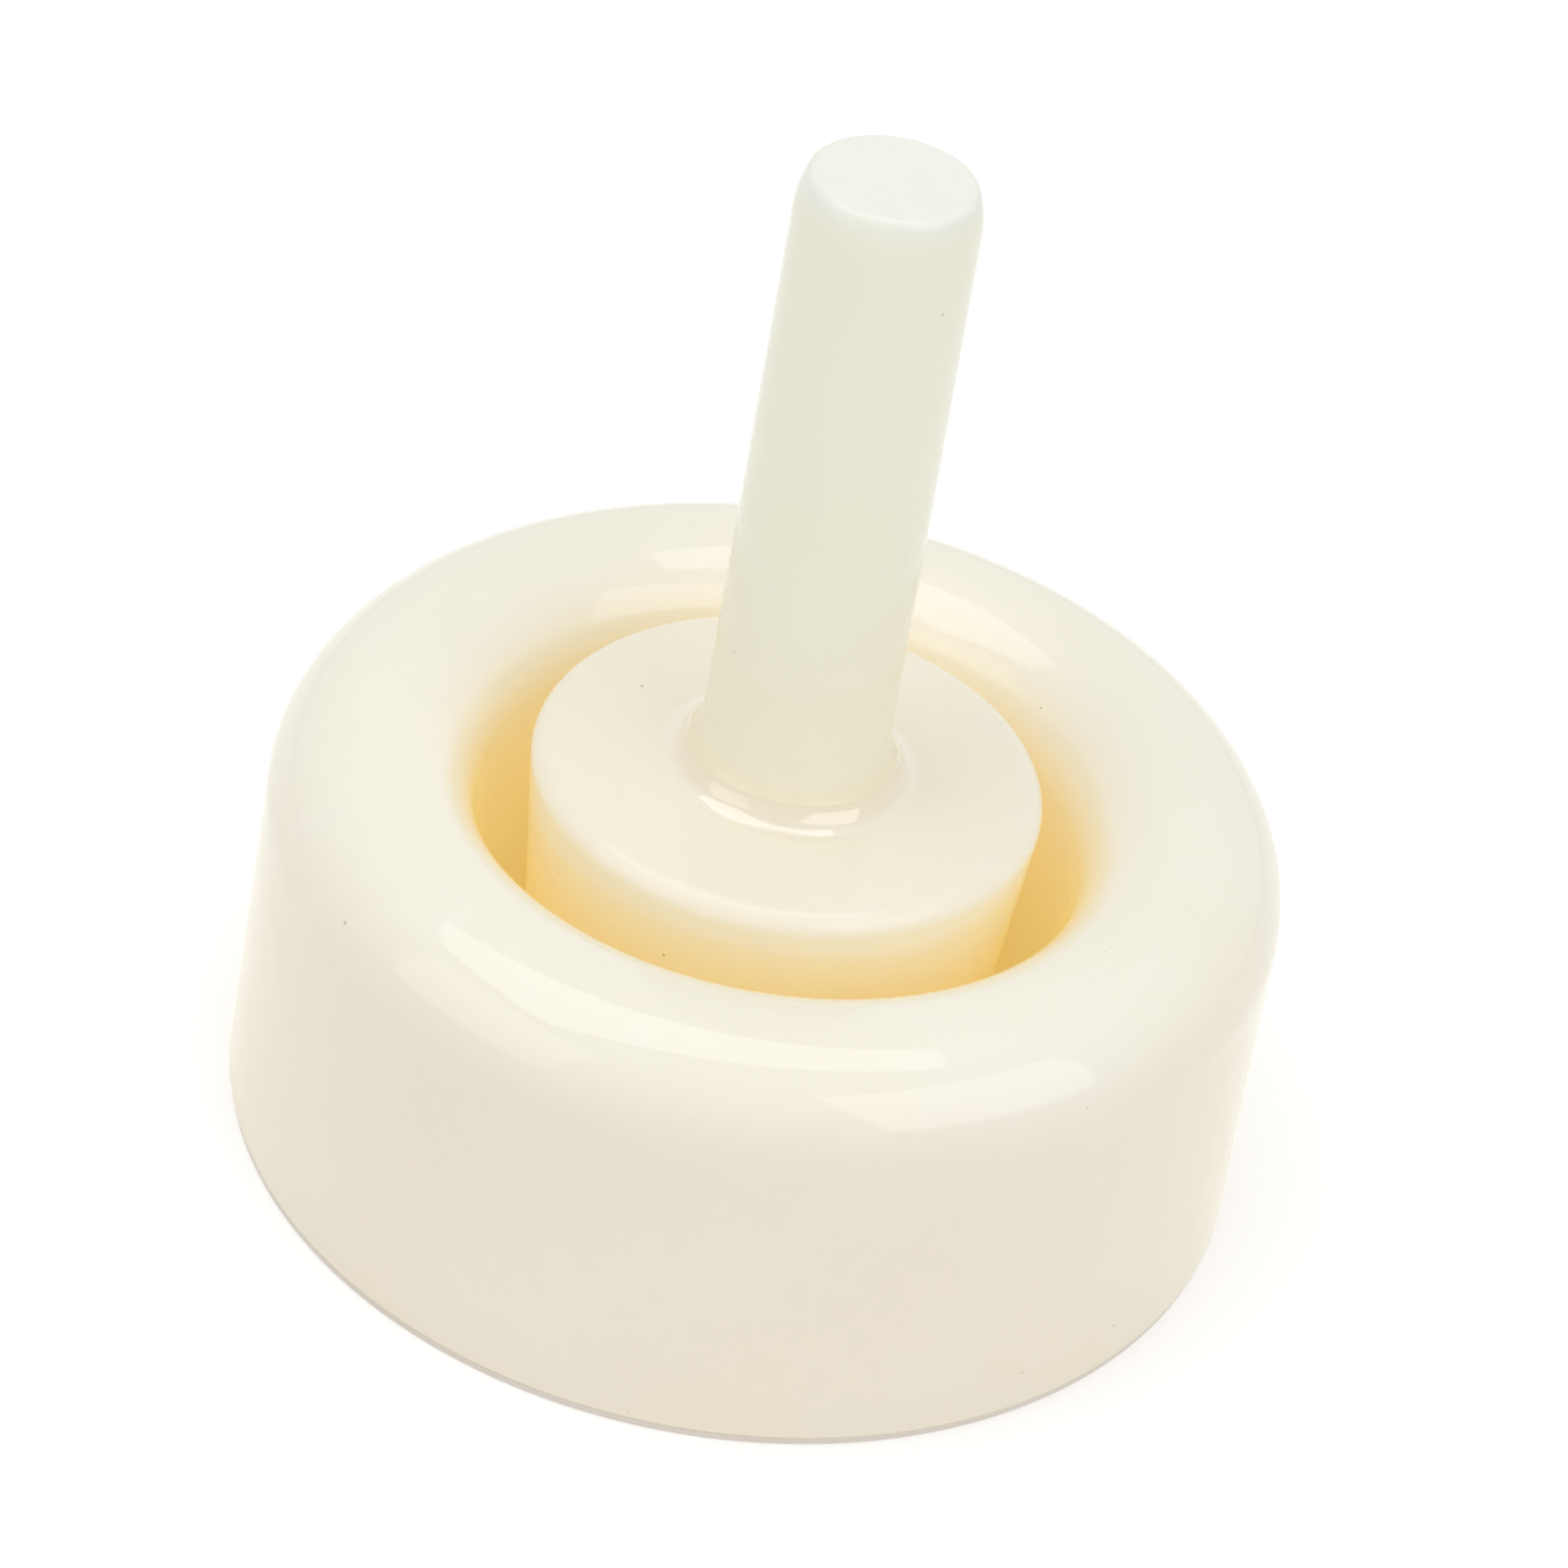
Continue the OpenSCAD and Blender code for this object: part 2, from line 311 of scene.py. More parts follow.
def turning_tree():
    """Geometry tree that rounds the corners of a half outline and turns it about the upright axis."""
    tree, given, leave = new_tree(
        "turned outline",
        "GeometryNodeTree",
        {
            SHAPE: ("Outline",),
            COUNT: ("Segments", "Corner steps"),
            FLOAT: ("Path radius",),
            FINISH: ("Finish",),
        },
        {SHAPE: ("Solid",)},
    )
    chain = add(tree, "GeometryNodeMeshToCurve", Mesh=given["Outline"])
    rounding = add(tree, "GeometryNodeInputNamedAttribute", Name="rounding")
    rounded = tree.nodes.new("GeometryNodeFilletCurve")
    rounded.mode = "POLY"
    feed(rounded, Curve=chain.outputs[0], Count=given["Corner steps"], Radius=rounding.outputs[0])
    position = tree.nodes.new("GeometryNodeInputPosition").outputs[0]
    place = add(tree, "ShaderNodeSeparateXYZ", Vector=position).outputs
    off_path = minus(place["X"], given["Path radius"])
    on_path = add(tree, "ShaderNodeCombineXYZ", X=off_path, Y=times(place["Z"], -1.0)).outputs[0]
    profile = add(tree, "GeometryNodeSetPosition", Geometry=rounded.outputs[0], Position=on_path)
    path = tree.nodes.new("GeometryNodeCurvePrimitiveCircle")
    feed(path, Resolution=given["Segments"], Radius=given["Path radius"])
    turned = tree.nodes.new("GeometryNodeCurveToMesh")
    feed(turned, Curve=path.outputs["Curve"], Profile_Curve=profile.outputs[0])
    welded = add(tree, "GeometryNodeMergeByDistance", Geometry=turned.outputs[0], Distance=WELD)
    outward = add(tree, "GeometryNodeFlipFaces", Mesh=welded.outputs[0])
    close_tree(tree, outward.outputs[0], given["Finish"], leave)
    return tree


def screw_tree():
    """Geometry tree that cuts the hexagon, the grip grooves and the thread into a turned screw."""
    tree, given, leave = new_tree(
        "screw cuts",
        "GeometryNodeTree",
        {
            SHAPE: ("Blank",),
            COUNT: ("Grip grooves",),
            FLOAT: ("Key width", "Grip depth", "Pitch", "Depth", "Thread foot", "Thread tip"),
            FINISH: ("Finish",),
        },
        {SHAPE: ("Screw",)},
    )
    position = tree.nodes.new("GeometryNodeInputPosition").outputs[0]
    across, along, height, reach = split_place(position)
    turn = calc("ARCTAN2", along, across)
    cut = add(tree, "GeometryNodeInputNamedAttribute", Name="cut").outputs[0]

    sixth = math.pi / 3
    from_flat = minus(calc("FLOORED_MODULO", turn, sixth), sixth / 2)
    key_reach = over(over(given["Key width"], 2.0), calc("COSINE", from_flat))

    wave = calc("COSINE", times(turn, given["Grip grooves"]))
    groove = minus(0.5, times(wave, 0.5))
    grip_reach = minus(reach, times(groove, given["Grip depth"]))

    phase = calc("FRACT", minus(over(height, given["Pitch"]), over(turn, math.tau)))
    ridge = calc("ABSOLUTE", minus(times(phase, 2.0), 1.0))
    above_foot = over(minus(height, given["Thread foot"]), given["Pitch"])
    below_tip = over(minus(given["Thread tip"], height), given["Pitch"])
    run_in = calc("MINIMUM", calc("MINIMUM", above_foot, below_tip), 1.0)
    fade = calc("MAXIMUM", run_in, 0.0)
    depth = times(minus(1.0, ridge), given["Depth"])
    thread_reach = minus(reach, times(depth, fade))

    shape = given["Blank"]
    for kind, new_reach in ((KEY, key_reach), (GRIP, grip_reach), (THREAD, thread_reach)):
        scale = over(new_reach, calc("MAXIMUM", reach, WELD))
        moved = add(tree, "ShaderNodeCombineXYZ", X=times(across, scale), Y=times(along, scale), Z=height)
        chosen = calc("COMPARE", cut, float(kind), SAME_CUT)
        placed = tree.nodes.new("GeometryNodeSetPosition")
        feed(placed, Geometry=shape, Selection=chosen, Position=moved.outputs[0])
        shape = placed.outputs[0]
    close_tree(tree, shape, given["Finish"], leave)
    return tree


def shared_tree(name, maker):
    """Returns the node group of that name, and makes it the first time."""
    return bpy.data.node_groups.get(name) or maker()


def feed_modifier(piece, tree, values):
    """Adds a geometry tree to a piece and sets its inputs by their identifiers."""
    modifier = piece.modifiers.new(tree.name, "NODES")
    modifier.node_group = tree
    for socket in tree.interface.items_tree:
        if socket.in_out == "INPUT" and socket.name in values:
            modifier[socket.identifier] = values[socket.name]


def turn_piece(name, corners, closed, finish, segments, corner_steps, cuts=None):
    """Turns a half outline into a solid piece.

    A closed outline stays off the axis. An open one starts and ends on it.
    """
    count = len(corners)
    edges = [(i, i + 1) for i in range(count - 1)]
    if closed:
        edges.append((count - 1, 0))
    outline = bpy.data.meshes.new(name + "_outline")
    outline.from_pydata([(c.radius, 0.0, c.height) for c in corners], edges, [])
    rounding = outline.attributes.new("rounding", "FLOAT", "POINT")
    rounding.data.foreach_set("value", [c.rounding for c in corners])
    cut = outline.attributes.new("cut", "FLOAT", "POINT")
    cut.data.foreach_set("value", [float(c.cut) for c in corners])
    piece = bpy.data.objects.new(name, outline)
    bpy.context.scene.collection.objects.link(piece)

    values = {
        "Segments": segments,
        "Corner steps": corner_steps,
        "Path radius": max(c.radius for c in corners),
        "Finish": finish,
    }
    feed_modifier(piece, shared_tree("turned outline", turning_tree), values)
    if cuts is not None:
        feed_modifier(piece, shared_tree("screw cuts", screw_tree), {**cuts, "Finish": finish})

    solid = bpy.data.meshes.new_from_object(piece.evaluated_get(bpy.context.evaluated_depsgraph_get()))
    piece.modifiers.clear()
    piece.data = solid
    solid.name = name
    bpy.data.meshes.remove(outline)
    tidy_faces(solid)
    even_shading(piece)
    return piece


def tidy_faces(solid):
    """Welds what coincides, drops faces without area and turns all faces outwards."""
    work = bmesh.new()
    work.from_mesh(solid)
    bmesh.ops.remove_doubles(work, verts=work.verts, dist=WELD)
    bmesh.ops.dissolve_degenerate(work, edges=work.edges, dist=WELD)
    bmesh.ops.recalc_face_normals(work, faces=work.faces)
    work.to_mesh(solid)
    work.free()
    for spare in ("rounding", "cut"):
        if spare in solid.attributes:
            solid.attributes.remove(solid.attributes[spare])


def even_shading(piece):
    """Smooth shading that stays flat on flat faces and breaks at sharp edges."""
    piece.data.shade_smooth()
    piece.data.set_sharp_from_angle(angle=SHARP_EDGE)
    weighted = piece.modifiers.new("flat faces stay flat", "WEIGHTED_NORMAL")
    weighted.weight = FLAT_FACE_WEIGHT
    weighted.keep_sharp = True


def seat(piece, body, node):
    """Puts a finished piece in the place of its solid."""
    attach(piece, body)
    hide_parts(node)


def ring_corners(sizes):
    """Half outline of the ring: bowl wall, foot, outer wall, and the rim rounded both ways."""
    body = RIM - PLATE_TOP
    bowl_top = sizes.former_diameter / 2 + sizes.waffle_gap
    bowl_foot = bowl_top - body * math.tan(sizes.side_taper)
    wall_top = bowl_top + sizes.ring_width
    wall_foot = wall_top + body * math.tan(sizes.wall_draft)
    bevel = sizes.foot_bevel
    return [
        Corner(bowl_foot, PLATE_TOP),
        Corner(wall_foot - bevel, PLATE_TOP),
        Corner(wall_foot - bevel * math.tan(sizes.wall_draft), PLATE_TOP + bevel),
        Corner(wall_top, RIM, sizes.rim_outer_rounding),
        Corner(bowl_top, RIM, sizes.rim_inner_rounding),
    ]


def plate_corners(sizes):
    """Half outline of the plate under the ring."""
    return [
        Corner(0.0, TABLE),
        Corner(PLATE_REACH, TABLE, sizes.plate_rounding),
        Corner(PLATE_REACH, PLATE_TOP, sizes.plate_rounding),
        Corner(0.0, PLATE_TOP),
    ]


def former_corners(sizes, handle):
    """Half outline of the former, with the socket for the handle above and the recess for the screw below."""
    top = sizes.former_diameter / 2
    foot = top - (RIM - PLATE_TOP) * math.tan(sizes.side_taper)
    socket = handle.spigot_diameter / 2 + handle.bond_film
    socket_floor = SPIGOT_FOOT - handle.spigot_room
    bore = handle.screw_diameter / 2 + handle.screw_room
    recess = WASHER_REACH + handle.recess_room
    return [
        Corner(recess, PLATE_TOP),
        Corner(foot, PLATE_TOP, sizes.former_foot_rounding),
        Corner(top, RIM, sizes.former_top_rounding),
        Corner(socket, RIM),
        Corner(socket, socket_floor),
        Corner(bore, socket_floor),
        Corner(bore, WASHER_TOP),
        Corner(recess, WASHER_TOP),
    ]


def foot_reach(handle):
    """Radius of the handle's foot, and the height and radius where its flare leaves the side."""
    flare = handle.flare_radius
    inside = flare / math.cos(handle.handle_taper) - handle.foot_spread
    flare_height = RIM + handle.foot_edge_height + math.sqrt(flare * flare - inside * inside)
    side = handle.handle_diameter / 2 - (flare_height - RIM) * math.tan(handle.handle_taper)
    return side + handle.foot_spread, flare_height, side


def arc_corners(centre, radius, start, end, steps):
    """Points along an arc of the outline, ends included."""
    made = []
    for i in range(steps + 1):
        angle = start + (end - start) * i / steps
        made.append(Corner(centre[0] + radius * math.cos(angle), centre[1] + radius * math.sin(angle)))
    return made


def top_corners(handle):
    """Half outline of the handle's end: a long shoulder, then a small rounding into the flat top."""
    shoulder, edge, taper = handle.shoulder_radius, handle.handle_top_rounding, handle.handle_taper
    start = HANDLE_TOP - handle.shoulder_height
    side = handle.handle_diameter / 2 - (start - RIM) * math.tan(taper)
    centre = (side - shoulder * math.cos(taper), start - shoulder * math.sin(taper))
    edge_height = HANDLE_TOP - edge
    turn = math.asin((edge_height - centre[1]) / (shoulder - edge))
    edge_centre = (centre[0] + (shoulder - edge) * math.cos(turn), edge_height)
    return [
        *arc_corners(centre, shoulder, taper, turn, SHOULDER_STEPS),
        *arc_corners(edge_centre, edge, turn, math.pi / 2, TOP_EDGE_STEPS)[1:],
        Corner(0.0, HANDLE_TOP),
    ]


def handle_corners(handle):
    """Half outline of the handle: threaded hole, spigot, foot, flare, side and top."""
    hole = handle.screw_diameter / 2 + handle.thread_room
    hole_top = SCREW_TIP + handle.tip_room
    spigot = handle.spigot_diameter / 2
    bevel = handle.spigot_bevel
    foot, flare_height, side = foot_reach(handle)
    foot_top = RIM + handle.foot_edge_height
    flare = handle.flare_radius
    centre = (side + flare / math.cos(handle.handle_taper), flare_height)
    low = math.pi + math.asin((flare_height - foot_top) / flare)
    high = math.pi + handle.handle_taper
    return [
        Corner(0.0, hole_top),
        Corner(hole, hole_top),
        Corner(hole, SPIGOT_FOOT),
        Corner(spigot - bevel, SPIGOT_FOOT),
        Corner(spigot, SPIGOT_FOOT + bevel),
        Corner(spigot, RIM),
        Corner(foot, RIM),
        *arc_corners(centre, flare, low, high, FLARE_STEPS),
        *top_corners(handle),
    ]


def bead_corners(handle):
    """Half outline of the bead: a hollow corner fillet that wets the foot."""
    inner = foot_reach(handle)[0]
    wide, tall, hollow = handle.bead_width + handle.bond_film, handle.foot_edge_height, handle.bead_hollow
    span = math.hypot(wide, tall)
    radius = (span * span / 4 + hollow * hollow) / (2 * hollow)
    away = radius - hollow
    centre = (inner + wide / 2 + away * tall / span, RIM + tall / 2 + away * wide / span)
    low = math.atan2(RIM - centre[1], inner + wide - centre[0]) + math.tau
    high = math.atan2(RIM + tall - centre[1], inner - centre[0]) + math.tau
    return [Corner(inner, RIM), *arc_corners(centre, radius, low, high, BEAD_STEPS)]


def washer_corners(handle):
    """Half outline of the washer."""
    bore = handle.screw_diameter / 2 + handle.screw_room
    edge = handle.washer_edge
    return [
        Corner(bore, WASHER_FOOT, edge),
        Corner(WASHER_REACH, WASHER_FOOT, edge),
        Corner(WASHER_REACH, WASHER_TOP, edge),
        Corner(bore, WASHER_TOP, edge),
    ]


def plug_corners(handle):
    """Half outline of the plug."""
    bevel = handle.plug_bevel
    return [
        Corner(0.0, PLUG_FOOT),
        Corner(PLUG_REACH, PLUG_FOOT),
        Corner(PLUG_REACH, PLUG_TOP - bevel),
        Corner(PLUG_REACH - bevel, PLUG_TOP),
        Corner(0.0, PLUG_TOP),
    ]


def screw_corners(handle, thread_foot):
    """Half outline of the screw, with rows of points where it is cut."""
    head = handle.head_diameter / 2
    shank = handle.screw_diameter / 2
    key = handle.key_width / 2
    bevel = handle.screw_bevel
    key_floor = SCREW_FOOT + handle.key_depth
    thread_rise = SCREW_TIP - bevel - thread_foot
    rows = THREAD_ROWS * round(thread_rise / handle.thread_pitch)
    thread = [Corner(shank, thread_foot + thread_rise * i / rows, 0.0, THREAD) for i in range(rows + 1)]
    return [
        Corner(0.0, key_floor),
        Corner(key, key_floor, 0.0, KEY),
        Corner(key, SCREW_FOOT, 0.0, KEY),
        Corner(head - bevel, SCREW_FOOT),
        Corner(head, SCREW_FOOT + bevel),
        Corner(head, SCREW_FOOT + 2 * bevel, 0.0, GRIP),
        Corner(head, WASHER_FOOT - bevel, 0.0, GRIP),
        Corner(head, WASHER_FOOT),
        Corner(shank, WASHER_FOOT),
        *thread,
        Corner(shank - bevel, SCREW_TIP),
        Corner(0.0, SCREW_TIP),
    ]


def mix_colours(factor, first, second, blend="MIX"):
    """Adds one colour mix and returns its result."""
    node = factor.id_data.nodes.new("ShaderNodeMix")
    node.data_type = "RGBA"
    node.blend_type = blend
    for slot, source in (("Factor", factor), (MIX_FIRST, first), (MIX_SECOND, second)):
        connect(source, node.inputs[slot])
    return node.outputs[MIX_RESULT]


def noise(tree, size, detail, roughness=0.5, stretch=None):
    """Noise in the piece's own space, whose features are about that many metres wide. Returns its value."""
    source = own_place(tree)
    if stretch is not None:
        source = add(tree, "ShaderNodeMapping", Vector=source, Scale=stretch).outputs[0]
    scale = 1 / size if isinstance(size, float) else over(1.0, size)
    node = tree.nodes.new("ShaderNodeTexNoise")
    feed(node, Vector=source, Scale=scale, Detail=detail, Roughness=roughness)
    return node.outputs[0]


def ramp(value, low, high):
    """Spreads a value so that low gives 0 and high gives 1, with soft ends."""
    node = add(value.id_data, "ShaderNodeMapRange", Value=value, From_Min=low, From_Max=high)
    node.interpolation_type = "SMOOTHSTEP"
    return node.outputs[0]


# Soft ends of the clouds and of their grain, and how much the grain adds
CLOUD_ENDS = (0.35, 0.68)
GRAIN_ENDS = (0.4, 0.75)
GRAIN_SHARE = 0.3

# How far a painted light zone fades outwards, how far its height drifts, and over what size
ZONE_FADE = 0.0015
ZONE_DRIFT = 0.006
ZONE_DRIFT_SIZE = 0.02

# Specks: the smallest as a share of the named size, their soft edge, the faintest, and what the darkest adds
SPECK_LEAST = 0.3
SPECK_EDGE = 0.5
SPECK_FAINTEST = 0.25
SPECK_DARKER = 0.55

# Wiped patches of the skin, and hairline scratches in a few places
WIPE_SIZE = 0.03
WIPE_ENDS = (0.3, 0.7)
HAIRLINE_SPACING = 0.011
HAIRLINE_WIDTH = 0.0016
SCRATCHED_SIZE = 0.018
SCRATCHED_STRETCH = (1.0, 1.0, 1.7)
SCRATCHED_ENDS = (0.66, 0.70)
SCRATCH_ROUGHNESS = 0.25
SCRATCH_DEPTH = 0.35

# Turned steel: its roughness, what rings and stains add to it, and the stains
STEEL_ROUGHNESS = 0.24
RING_ROUGHNESS = 0.16
STAIN_ROUGHNESS = 0.1
STAIN_SIZE = 0.004
STAIN_ENDS = (0.5, 0.75)
STAIN_TINT = (0.78, 0.74, 0.68)
TOOL_MARK_DEPTH = 0.00001


def cloud_tree():
    """Shader group: the milky unevenness of cast plastic, soft warmer clouds with a finer grain in them."""
    tree, given, leave = new_tree(
        "milky clouds",
        "ShaderNodeTree",
        {COLOUR: ("Colour", "Warm Tint"), FLOAT: ("Cloud Size", "Grain Size")},
        {COLOUR: ("Colour",)},
    )
    cloud = ramp(noise(tree, given["Cloud Size"], 3.0), *CLOUD_ENDS)
    grain = ramp(noise(tree, given["Grain Size"], 2.0), *GRAIN_ENDS)
    amount = calc("MINIMUM", plus(cloud, times(grain, GRAIN_SHARE)), 1.0)
    feed(leave, Colour=mix_colours(amount, given["Colour"], given["Warm Tint"], "MULTIPLY"))
    return tree


def light_zone_tree():
    """Shader group: painted light and shade, other colours above a height and outside a reach, with soft and
    uneven edges.
    """
    tree, given, leave = new_tree(
        "painted light zones",
        "ShaderNodeTree",
        {
            COLOUR: ("Colour", "Top Colour", "Outer Colour"),
            FLOAT: ("Band Foot", "Band Top", "Outer Reach"),
        },
        {COLOUR: ("Colour",)},
    )
    _, _, height, reach = split_place(own_place(tree))
    sway = minus(noise(tree, ZONE_DRIFT_SIZE, 2.0), 0.5)
    drifted = plus(height, times(sway, ZONE_DRIFT))
    outside = ramp(minus(reach, given["Outer Reach"]), 0.0, ZONE_FADE)
    below = mix_colours(outside, given["Colour"], given["Outer Colour"])
    band = ramp(drifted, given["Band Foot"], given["Band Top"])
    feed(leave, Colour=mix_colours(band, below, given["Top Colour"]))
    return tree


def speck_tree():
    """Shader group: sparse dark specks, one in some of the cells that fill the space."""
    tree, given, leave = new_tree(
        "burnt specks",
        "ShaderNodeTree",
        {COLOUR: ("Colour", "Speck Colour"), FLOAT: ("Spacing", "Speck Size", "Share")},
        {COLOUR: ("Colour",)},
    )
    scale = over(1.0, given["Spacing"])
    cells = add(tree, "ShaderNodeTexVoronoi", Vector=own_place(tree), Scale=scale).outputs
    chance = add(tree, "ShaderNodeSeparateColor", Color=cells["Color"]).outputs
    largest = over(given["Speck Size"], given["Spacing"])
    reach = times(largest, plus(chance[1], SPECK_LEAST))
    spot = ramp(minus(1.0, over(cells["Distance"], reach)), 0.0, SPECK_EDGE)
    picked = calc("LESS_THAN", chance[0], given["Share"])
    strength = plus(times(chance[2], SPECK_DARKER), SPECK_FAINTEST)
    mask = times(times(spot, picked), strength)
    feed(leave, Colour=mix_colours(mask, given["Colour"], given["Speck Colour"]))
    return tree


def skin_tree():
    """Shader group: a skin with uneven gloss, slow ripple, fine orange peel and hairline scratches."""
    tree, given, leave = new_tree(
        "worn skin",
        "ShaderNodeTree",
        {FLOAT: ("Gloss Low", "Gloss High", "Ripple Size", "Peel Size", "Peel", "Scratches")},
        {FLOAT: ("Roughness", "Height")},
    )
    wipe = ramp(noise(tree, WIPE_SIZE, 3.0, 0.6), *WIPE_ENDS)
    lines = calc("ABSOLUTE", minus(noise(tree, HAIRLINE_SPACING, 1.0), 0.5))
    thin = minus(1.0, ramp(lines, 0.0, HAIRLINE_WIDTH))
    patch = ramp(noise(tree, SCRATCHED_SIZE, 2.0, 0.5, SCRATCHED_STRETCH), *SCRATCHED_ENDS)
    scratch = times(times(thin, patch), given["Scratches"])
    spread = minus(given["Gloss High"], given["Gloss Low"])
    gloss = plus(given["Gloss Low"], times(spread, wipe))
    ripple = noise(tree, given["Ripple Size"], 1.0)
    peel = times(noise(tree, given["Peel Size"], 2.0), given["Peel"])
    feed(
        leave,
        Roughness=plus(gloss, times(scratch, SCRATCH_ROUGHNESS)),
        Height=minus(plus(ripple, peel), times(scratch, SCRATCH_DEPTH)),
    )
    return tree


def steel_tree():
    """Shader group: turned steel, with fine rings round the axis and faint stains."""
    tree, given, leave = new_tree(
        "turned steel",
        "ShaderNodeTree",
        {COLOUR: ("Colour", "Stain Colour"), FLOAT: ("Ring Size",)},
        {COLOUR: ("Colour",), FLOAT: ("Roughness", "Height")},
    )
    _, _, height, reach = split_place(own_place(tree))
    rings = tree.nodes.new("ShaderNodeTexNoise")
    rings.noise_dimensions = "1D"
    feed(rings, Scale=1.0, W=over(plus(reach, height), given["Ring Size"]))
    stain = ramp(noise(tree, STAIN_SIZE, 3.0), *STAIN_ENDS)
    ringed = plus(STEEL_ROUGHNESS, times(rings.outputs[0], RING_ROUGHNESS))
    feed(
        leave,
        Colour=mix_colours(stain, given["Colour"], given["Stain Colour"]),
        Roughness=plus(ringed, times(stain, STAIN_ROUGHNESS)),
        Height=rings.outputs[0],
    )
    return tree


# A warm glow painted on the plastics as emission, in place of light soaked through them and bounced about the
# gap. Thick castings glow more than thin pieces
PAINTED_GLOW_COLOUR = (1.0, 0.88, 0.18, 1.0)
CAST_MILK = {
    "glow": 0.076,
    "clouds": {"Cloud_Size": 0.035, "Grain_Size": 0.004},
}
THIN_MILK = {
    "glow": 0.03,
    "clouds": {"Cloud_Size": 0.030, "Grain_Size": 0.0015},
}
SPARSE_SPECKS = {"Spacing": 0.0060, "Speck_Size": 0.00026, "Share": 0.5}
FEW_SPECKS = {**SPARSE_SPECKS, "Share": 0.1}

# Skins of the pieces
POLISHED = dict(
    Gloss_Low=0.02, Gloss_High=0.045, Ripple_Size=0.014, Peel_Size=0.0011, Peel=0.02, Scratches=0.5
)
PRESSED = dict(
    Gloss_Low=0.09, Gloss_High=0.16, Ripple_Size=0.016, Peel_Size=0.0012, Peel=0.05, Scratches=0.8
)
SATIN = dict(
    Gloss_Low=0.07, Gloss_High=0.11, Ripple_Size=0.012, Peel_Size=0.0009, Peel=0.35, Scratches=0.5
)
WET_LOOK = dict(
    Gloss_Low=0.012, Gloss_High=0.022, Ripple_Size=0.006, Peel_Size=0.0011, Peel=0.0, Scratches=0.0
)
CUT_SHEET = dict(
    Gloss_Low=0.40, Gloss_High=0.60, Ripple_Size=0.010, Peel_Size=0.0006, Peel=0.6, Scratches=0.5
)
RIPPLE_DEPTH = 0.00003
BEAD_RIPPLE_DEPTH = 0.2 * RIPPLE_DEPTH

# How strongly a surface mirrors is its gloss: 0.5 is plain plastic
Surface = namedtuple("Surface", "specks skin depth milk gloss")
RING_SURFACE = Surface(SPARSE_SPECKS, POLISHED, RIPPLE_DEPTH, CAST_MILK, 0.7)
PLATE_SURFACE = Surface(SPARSE_SPECKS, CUT_SHEET, RIPPLE_DEPTH, THIN_MILK, 0.5)
FORMER_SURFACE = Surface(SPARSE_SPECKS, PRESSED, RIPPLE_DEPTH, CAST_MILK, 0.5)
HANDLE_SURFACE = Surface(SPARSE_SPECKS, SATIN, RIPPLE_DEPTH, THIN_MILK, 0.5)
BEAD_SURFACE = Surface(FEW_SPECKS, WET_LOOK, BEAD_RIPPLE_DEPTH, CAST_MILK, 1.0)

# How strongly plastic and the clear film on the cement bend light, and how smooth that film is
PLASTIC_BENDING = 1.5
FILM_BENDING = 1.7
FILM_ROUGHNESS = 0.015

# Widths of the turning marks, and how much paler the washer is than the screw
SCREW_MARKS = 0.0004
WASHER_MARKS = 0.0006
WASHER_PALER = 1.12


def new_finish(name):
    """Makes a node material and returns it with its tree and its main shader."""
    finish = bpy.data.materials.new(name)
    finish.use_nodes = True
    return finish, finish.node_tree, finish.node_tree.nodes["Principled BSDF"]


def use_group(tree, group, **sources):
    """Places a shared shader group and feeds it."""
    node = tree.nodes.new("ShaderNodeGroup")
    node.node_tree = group
    return feed(node, **sources)


def raise_surface(tree, shader, height, depth):
    """Bumps the surface by a height of 0 to 1, with that depth in metres."""
    bump = add(tree, "ShaderNodeBump", Height=height, Distance=depth, Strength=1.0)
    feed(shader, Normal=bump.outputs[0])


def plastic(name, colours, colour, surface):
    """A milky plastic: clouded colour with specks in it, a worn skin, and a faint painted glow, emission in
    place of soaked light.
    """
    finish, tree, shader = new_finish(name)
    clouds = use_group(
        tree,
        shared_tree("milky clouds", cloud_tree),
        Colour=colour,
        Warm_Tint=colours.warm_tint,
        **surface.milk["clouds"],
    )
    clouds.name = "clouds"
    spotted = use_group(
        tree,
        shared_tree("burnt specks", speck_tree),
        Colour=clouds.outputs["Colour"],
        Speck_Colour=colours.speck,
        **surface.specks,
    )
    worn = use_group(tree, shared_tree("worn skin", skin_tree), **surface.skin)
    raise_surface(tree, shader, worn.outputs["Height"], surface.depth)
    feed(
        shader,
        Base_Color=spotted.outputs["Colour"],
        Roughness=worn.outputs["Roughness"],
        IOR=PLASTIC_BENDING,
        # Painted glow: a constant warm emission that stands in for light soaked through the piece
        Emission_Color=PAINTED_GLOW_COLOUR,
        Emission_Strength=surface.milk["glow"],
        Specular_IOR_Level=surface.gloss,
    )
    return finish


def varnish(finish):
    """Lays a clear, smooth film over a finish."""
    shader = finish.node_tree.nodes["Principled BSDF"]
    feed(shader, Coat_Weight=1.0, Coat_Roughness=FILM_ROUGHNESS, Coat_IOR=FILM_BENDING)


def paint_light_zones(finish, **zones):
    """Paints light and shade into a plastic: another colour towards its top, and another outside a reach."""
    tree = finish.node_tree
    zoned = use_group(tree, shared_tree("painted light zones", light_zone_tree), **zones)
    feed(tree.nodes["clouds"], Colour=zoned.outputs["Colour"])


def steel(name, colour, ring_size):
    """Turned stainless steel."""
    finish, tree, shader = new_finish(name)
    stain = (*(part * tint for part, tint in zip(colour, STAIN_TINT)), 1.0)
    group = shared_tree("turned steel", steel_tree)
    turned = use_group(tree, group, Colour=colour, Stain_Colour=stain, Ring_Size=ring_size).outputs
    feed(shader, Base_Color=turned["Colour"], Roughness=turned["Roughness"], Metallic=1.0)
    raise_surface(tree, shader, turned["Height"], TOOL_MARK_DEPTH)
    return finish
